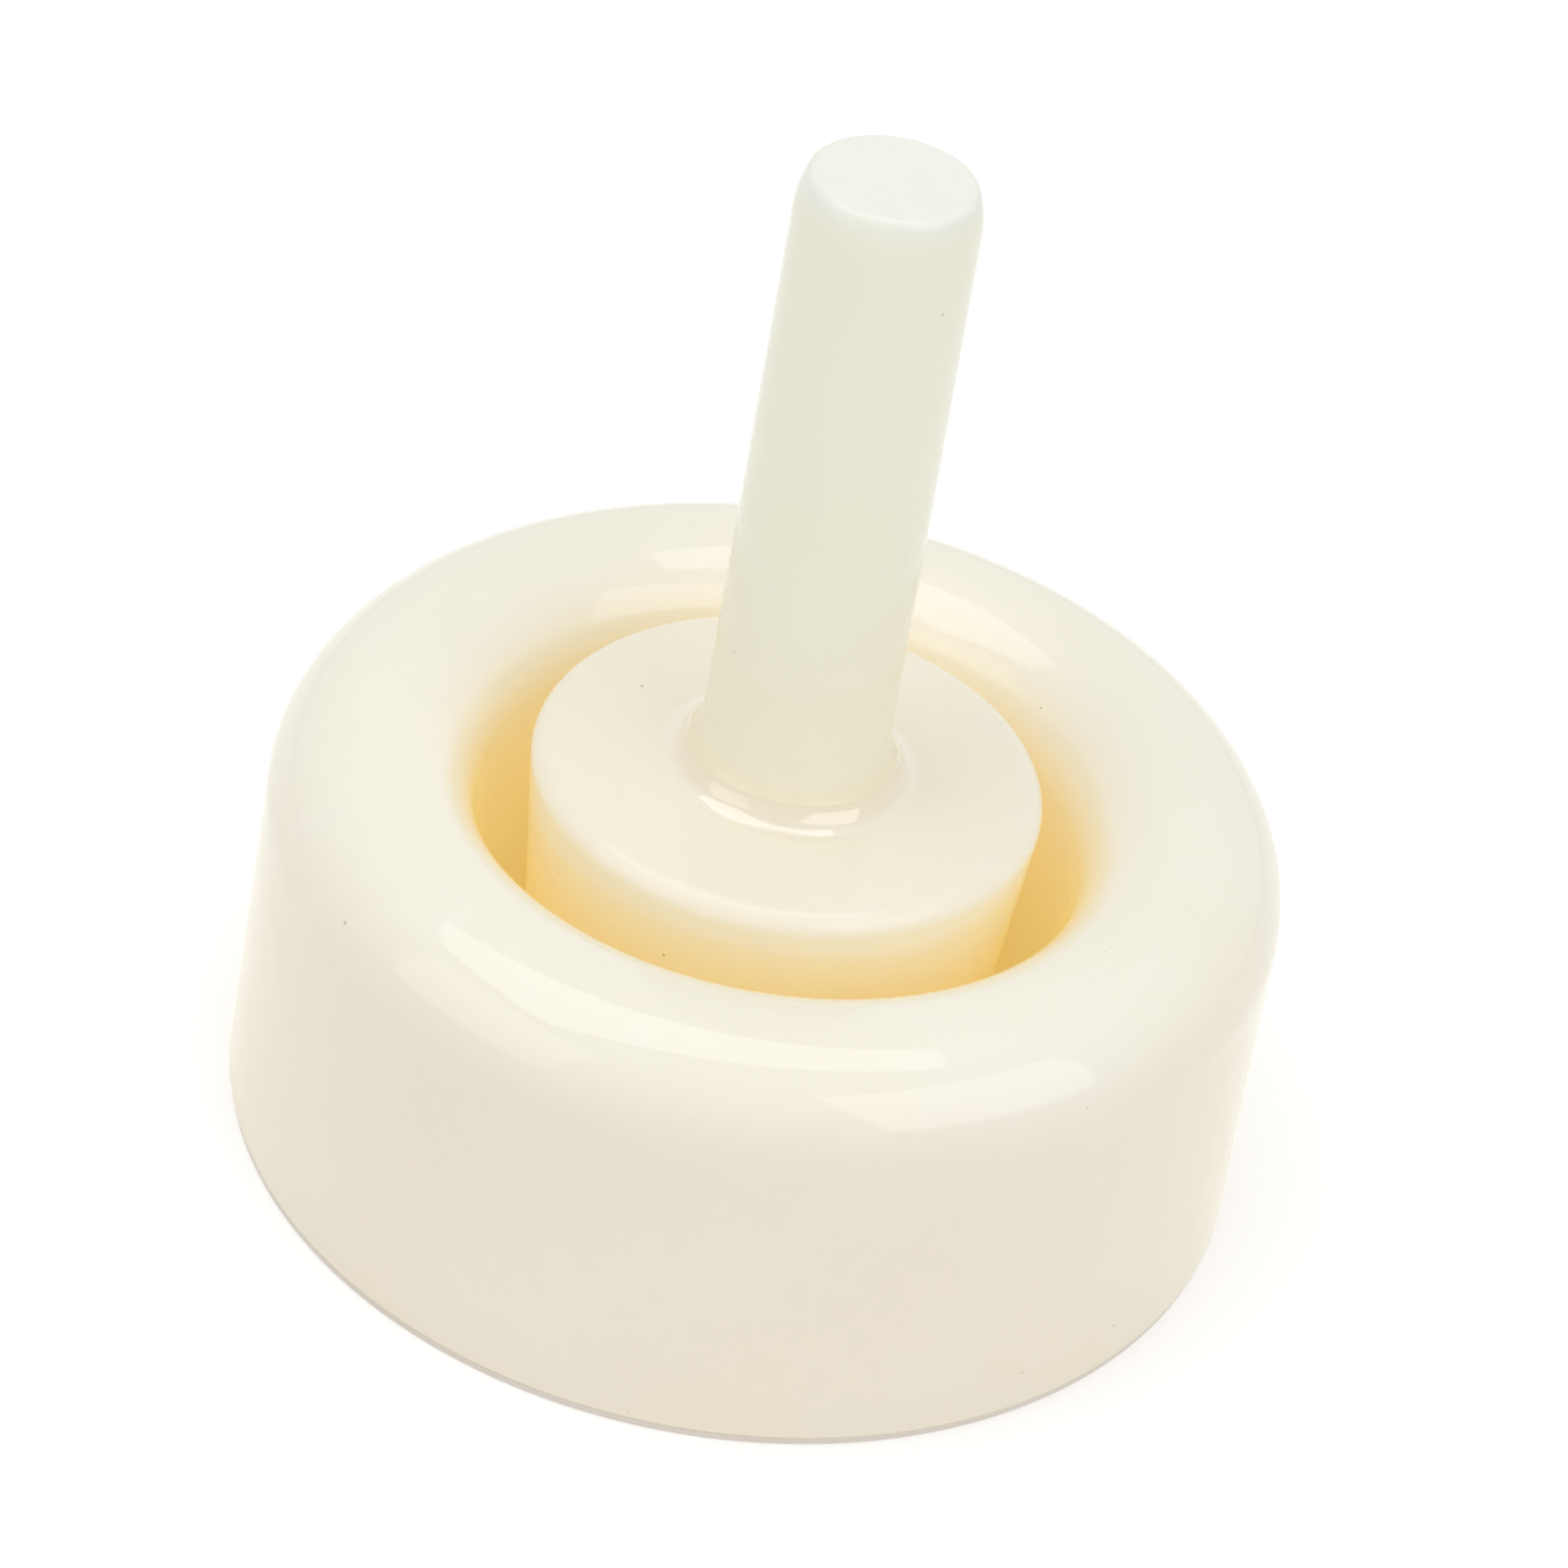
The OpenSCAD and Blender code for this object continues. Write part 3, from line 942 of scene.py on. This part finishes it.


# Where the painted light and shade change: on the rim and the former in roundings below the rim, on the
# handle that far inside its widest side, and on the bead at that share of its width
RIM_BAND = 1.3
FORMER_BAND_FOOT = 3.0
FORMER_BAND_TOP = 1.7
FOOT_ZONE_INSET = 0.5 * MILLIMETRE
BEAD_BODY = 0.3


class CastRing(bpy.types.Operator):
    """Casts the thick ring with its rounded rim"""

    bl_idname = "waffle_mold.cast_ring"
    bl_label = "Mold ring"

    def execute(self, context):
        colours = context.scene.waffle_colours
        finish = plastic("polished cream casting", colours, colours.ring, RING_SURFACE)
        sizes = context.scene.waffle_mold
        # Painted light and shade: a paler rim and a duller outer wall than the bowl
        paint_light_zones(
            finish,
            Colour=colours.ring,
            Top_Colour=colours.rim,
            Outer_Colour=colours.shaded_ring_wall,
            Band_Foot=RIM - RIM_BAND * sizes.rim_outer_rounding,
            Band_Top=RIM,
            Outer_Reach=sizes.former_diameter / 2 + sizes.waffle_gap + sizes.ring_width / 2,
        )
        piece = turn_piece("ring_casting", ring_corners(sizes), True, finish, *RING_TURNING)
        seat(piece, "mold", "mold_ring")
        return {"FINISHED"}


class CutPlate(bpy.types.Operator):
    """Cuts the thin plate under the ring"""

    bl_idname = "waffle_mold.cut_plate"
    bl_label = "Base plate"

    def execute(self, context):
        colours = context.scene.waffle_colours
        # The greyish sheet's edge stands partly for painted shade along the ring's lower edge
        finish = plastic("greyish cut sheet", colours, colours.plate, PLATE_SURFACE)
        corners = plate_corners(context.scene.waffle_mold)
        piece = turn_piece("base_sheet", corners, False, finish, *PLATE_TURNING)
        seat(piece, "mold", "mold_base")
        return {"FINISHED"}


class CastFormer(bpy.types.Operator):
    """Casts the tapered former and the plug that closes its recess"""

    bl_idname = "waffle_mold.cast_former"
    bl_label = "Former and plug"

    def execute(self, context):
        scene = context.scene
        colours = scene.waffle_colours
        finish = plastic("pressed cream casting", colours, colours.former_side_painted_glow, FORMER_SURFACE)
        sizes = scene.waffle_mold
        # Painted light: a golden side under a paler top edge, for the light bounced about in the gap
        paint_light_zones(
            finish,
            Colour=colours.former_side_painted_glow,
            Top_Colour=colours.former,
            Outer_Colour=colours.former_side_painted_glow,
            Band_Foot=RIM - FORMER_BAND_FOOT * sizes.former_top_rounding,
            Band_Top=RIM - FORMER_BAND_TOP * sizes.former_top_rounding,
            Outer_Reach=sizes.former_diameter,
        )
        corners = former_corners(sizes, scene.waffle_handle)
        former = turn_piece("former_casting", corners, True, finish, *FORMER_TURNING)
        seat(former, "plunger", "former")
        corners = plug_corners(scene.waffle_handle)
        plug = turn_piece("recess_plug", corners, False, finish, *SMALL_TURNING)
        seat(plug, "plunger", "former_plug")
        return {"FINISHED"}


class TurnHandle(bpy.types.Operator):
    """Turns the upright handle with its flared foot"""

    bl_idname = "waffle_mold.turn_handle"
    bl_label = "Handle"

    def execute(self, context):
        colours = context.scene.waffle_colours
        finish = plastic("satin cream turning", colours, colours.handle, HANDLE_SURFACE)
        handle = context.scene.waffle_handle
        # Painted light: a paler end for the light from above and a warmer foot for the light bounced up off
        # the former
        paint_light_zones(
            finish,
            Colour=colours.handle,
            Top_Colour=colours.handle_end_painted_light,
            Outer_Colour=colours.handle_foot_painted_bounce,
            Band_Foot=HANDLE_TOP - handle.shoulder_height,
            Band_Top=HANDLE_TOP,
            Outer_Reach=handle.handle_diameter / 2 - FOOT_ZONE_INSET,
        )
        piece = turn_piece("handle_turning", handle_corners(handle), False, finish, *HANDLE_TURNING)
        seat(piece, "plunger", "handle_rod")
        return {"FINISHED"}


class LayBead(bpy.types.Operator):
    """Lays the glossy bead of cement round the handle's foot"""

    bl_idname = "waffle_mold.lay_bead"
    bl_label = "Cement bead"

    def execute(self, context):
        colours = context.scene.waffle_colours
        finish = plastic("glossy set cement", colours, colours.bead, BEAD_SURFACE)
        varnish(finish)
        handle = context.scene.waffle_handle
        # Painted shade: the body of the bead darker than its thin outer edge, for the hollow under the
        # handle's foot
        paint_light_zones(
            finish,
            Colour=colours.bead,
            Top_Colour=colours.bead,
            Outer_Colour=colours.bead_edge,
            Band_Foot=RIM + handle.foot_edge_height,
            Band_Top=HANDLE_TOP,
            Outer_Reach=foot_reach(handle)[0] + BEAD_BODY * handle.bead_width,
        )
        piece = turn_piece("cement_bead", bead_corners(handle), True, finish, *BEAD_TURNING)
        seat(piece, "plunger", "handle_bead")
        return {"FINISHED"}


class FitScrew(bpy.types.Operator):
    """Fits the hidden cap screw and its washer"""

    bl_idname = "waffle_mold.fit_screw"
    bl_label = "Screw and washer"

    def execute(self, context):
        handle = context.scene.waffle_handle
        colour = context.scene.waffle_colours.steel
        thread_foot = SPIGOT_FOOT - 2 * handle.thread_pitch
        cuts = {
            "Key width": handle.key_width,
            "Grip grooves": handle.grip_count,
            "Grip depth": handle.grip_depth,
            "Pitch": handle.thread_pitch,
            "Depth": handle.thread_depth,
            "Thread foot": thread_foot,
            "Thread tip": SCREW_TIP - handle.screw_bevel,
        }
        bright = steel("stainless screw", colour, SCREW_MARKS)
        corners = screw_corners(handle, thread_foot)
        segments = STEPS_PER_GRIP * handle.grip_count
        screw = turn_piece("cap_screw", corners, False, bright, segments, SCREW_CORNER_STEPS, cuts)
        seat(screw, "plunger", "handle_screw")
        pale = steel("stainless washer", [min(1.0, part * WASHER_PALER) for part in colour], WASHER_MARKS)
        washer = turn_piece("flat_washer", washer_corners(handle), True, pale, *SMALL_TURNING)
        seat(washer, "plunger", "screw_washer")
        return {"FINISHED"}


WHITE = (1.0, 1.0, 1.0, 1.0)
BLACK = (0.0, 0.0, 0.0, 1.0)

# The floor: half its width, how far it lies below the mold, its unevenness, and the light of its own
FLOOR_HALF = 6.0
FLOOR_DROP = 0.05 * MILLIMETRE
FLOOR_TINT = (0.99, 0.99, 0.99, 1.0)
FLOOR_LIFT = 0.29

# The panel overhead: its height above the rim and its corners
PANEL_RISE = 1.0
PANEL_CORNERS = ((0.44, -0.03), (0.25, 0.40), (-0.53, 0.39), (-0.83, 0.06), (-0.64, -0.53))

# How often light may bounce in all, and off plain surfaces
BOUNCES = 24
PLAIN_BOUNCES = 20

SENSOR_WIDTH = 36.0
NEAREST = 0.01
FURTHEST = 50.0


def softbox(name, place, wide, tall, brightness, mirrored=True):
    """A flat lamp that looks at the middle of the rim. A mirror shows its brightness, where 1 is white."""
    lamp = bpy.data.lights.new(name, "AREA")
    lamp.shape = "RECTANGLE"
    lamp.size = wide
    lamp.size_y = tall
    lamp.energy = brightness * math.pi * wide * tall
    box = bpy.data.objects.new(name, lamp)
    box.location = place
    look = Vector((0.0, 0.0, RIM)) - Vector(place)
    box.rotation_euler = look.to_track_quat("-Z", "Y").to_euler()
    box.visible_camera = False
    box.visible_glossy = mirrored
    bpy.context.scene.collection.objects.link(box)


def level_sheet(name, corners, height, finish):
    """A flat, level sheet with that outline."""
    mesh = bpy.data.meshes.new(name)
    mesh.from_pydata([(x, y, height) for x, y in corners], [], [tuple(range(len(corners)))])
    mesh.materials.append(finish)
    sheet = bpy.data.objects.new(name, mesh)
    bpy.context.scene.collection.objects.link(sheet)
    return sheet


def light_panel(brightness):
    """A five-sided panel of light, level over the mold. Its mirror image is the band along the rim."""
    finish, _, shader = new_finish("lit panel")
    feed(shader, Base_Color=BLACK, Specular_IOR_Level=0.0, Emission_Color=WHITE, Emission_Strength=brightness)
    panel = level_sheet("light_panel", PANEL_CORNERS, RIM + PANEL_RISE, finish)
    panel.visible_camera = False


def seen_rays(tree):
    """1 for what the camera sees, straight or mirrored, and 0 for light that falls on the pieces."""
    rays = tree.nodes.new("ShaderNodeLightPath").outputs
    seen = calc("MAXIMUM", rays["Is Camera Ray"], rays["Is Glossy Ray"])
    return calc("MAXIMUM", seen, rays["Is Transmission Ray"])


def white_room(strength):
    """Even white light from all sides. What looks straight at it, or mirrors it, sees white."""
    world = bpy.data.worlds.new("white room")
    bpy.context.scene.world = world
    world.use_nodes = True
    tree = world.node_tree
    tree.nodes.clear()
    either = add(tree, "ShaderNodeMixShader", Fac=seen_rays(tree))
    for slot, level in ((1, strength), (2, 1.0)):
        light = add(tree, "ShaderNodeBackground", Color=WHITE, Strength=level)
        connect(light.outputs[0], either.inputs[slot])
    sky = add(tree, "ShaderNodeOutputWorld", Surface=either.outputs[0])
    sky.is_active_output = True


def pale_floor(colour):
    """A wide, plain floor that the mold stands on."""
    finish, tree, shader = new_finish("pale floor")
    shade = use_group(
        tree,
        shared_tree("milky clouds", cloud_tree),
        Colour=colour,
        Warm_Tint=FLOOR_TINT,
        Cloud_Size=0.4,
        Grain_Size=0.02,
    )
    feed(
        shader,
        Base_Color=shade.outputs["Colour"],
        Roughness=1.0,
        Specular_IOR_Level=0.0,
        Emission_Color=WHITE,
        Emission_Strength=times(seen_rays(tree), FLOOR_LIFT),
    )
    around = ((-1, -1), (1, -1), (1, 1), (-1, 1))
    corners = [(x * FLOOR_HALF, y * FLOOR_HALF) for x, y in around]
    floor = level_sheet("studio_floor", corners, TABLE - FLOOR_DROP, finish)


def aim_camera(stage):
    """The camera where the picture was taken from: in front, above, and turned about its line of sight."""
    data = bpy.data.cameras.new("picture camera")
    data.lens = stage.camera_lens / MILLIMETRE
    data.sensor_width = SENSOR_WIDTH
    data.clip_start = NEAREST
    data.clip_end = FURTHEST
    camera = bpy.data.objects.new("picture camera", data)
    place = Vector((0.0, -stage.camera_back, stage.camera_height))
    aim = Vector((-stage.aim_left, 0.0, stage.aim_height))
    forward = (aim - place).normalized()
    right = forward.cross(Vector((0.0, 0.0, 1.0))).normalized()
    up = right.cross(forward)
    turn, rise = math.cos(stage.camera_roll), math.sin(stage.camera_roll)
    rolled_right = turn * right + rise * up
    rolled_up = turn * up - rise * right
    axes = Matrix((rolled_right, rolled_up, -forward)).transposed()
    camera.matrix_world = Matrix.Translation(place) @ axes.to_4x4()
    bpy.context.scene.collection.objects.link(camera)
    bpy.context.scene.camera = camera


class SetStage(bpy.types.Operator):
    """Sets the floor, the light and the camera"""

    bl_idname = "waffle_mold.set_stage"
    bl_label = "Stage"

    def execute(self, context):
        scene = context.scene
        stage = scene.waffle_stage
        scene.view_settings.view_transform = "Standard"
        scene.cycles.max_bounces = BOUNCES
        scene.cycles.diffuse_bounces = PLAIN_BOUNCES
        pale_floor(scene.waffle_colours.floor)
        white_room(stage.room_light)
        light_panel(stage.top_light)
        softbox("left softbox", (-1.12, -0.755, 0.69), 1.05, 1.08, stage.left_light)
        softbox("right softbox", (1.106, -0.774, 0.97), 1.4, 1.24, stage.right_light)
        softbox("front fill", (0.5, -1.6, 0.75), 1.6, 1.2, stage.front_light, mirrored=False)
        aim_camera(stage)
        return {"FINISHED"}


PIECES = (CastRing, CutPlate, CastFormer, TurnHandle, LayBead, FitScrew, SetStage)


class MoldPanel(bpy.types.Panel):
    """Lists the pieces of the mold and the sizes and colours that they take"""

    bl_idname = "VIEW3D_PT_waffle_mold"
    bl_label = "Waffle mold"
    bl_space_type = "VIEW_3D"
    bl_region_type = "UI"
    bl_category = "Waffle mold"

    def draw(self, context):
        column = self.layout.column()
        for operator in PIECES:
            column.operator(operator.bl_idname)
        for settings, _ in SETTINGS:
            box = self.layout.box()
            group = getattr(context.scene, settings)
            for name in group.bl_rna.properties.keys():
                if name not in ("rna_type", "name"):
                    box.prop(group, name, text=name.replace("_", " ").capitalize())


SETTINGS = (
    ("waffle_mold", MoldSizes),
    ("waffle_handle", HandleSizes),
    ("waffle_colours", MoldColours),
    ("waffle_stage", StageSettings),
)


def register():
    """Adds the settings, the operators and the panel to Blender."""
    for name, settings in SETTINGS:
        bpy.utils.register_class(settings)
        setattr(bpy.types.Scene, name, PointerProperty(type=settings))
    for operator in PIECES:
        bpy.utils.register_class(operator)
    bpy.utils.register_class(MoldPanel)


def unregister():
    """Takes them out again."""
    bpy.utils.unregister_class(MoldPanel)
    for operator in reversed(PIECES):
        bpy.utils.unregister_class(operator)
    for name, settings in reversed(SETTINGS):
        delattr(bpy.types.Scene, name)
        bpy.utils.unregister_class(settings)


def main():
    """Builds every piece and the stage."""
    register()
    bpy.ops.waffle_mold.cast_ring()
    bpy.ops.waffle_mold.cut_plate()
    bpy.ops.waffle_mold.cast_former()
    bpy.ops.waffle_mold.turn_handle()
    bpy.ops.waffle_mold.lay_bead()
    bpy.ops.waffle_mold.fit_screw()
    bpy.ops.waffle_mold.set_stage()


if __name__ == "__main__":
    main()
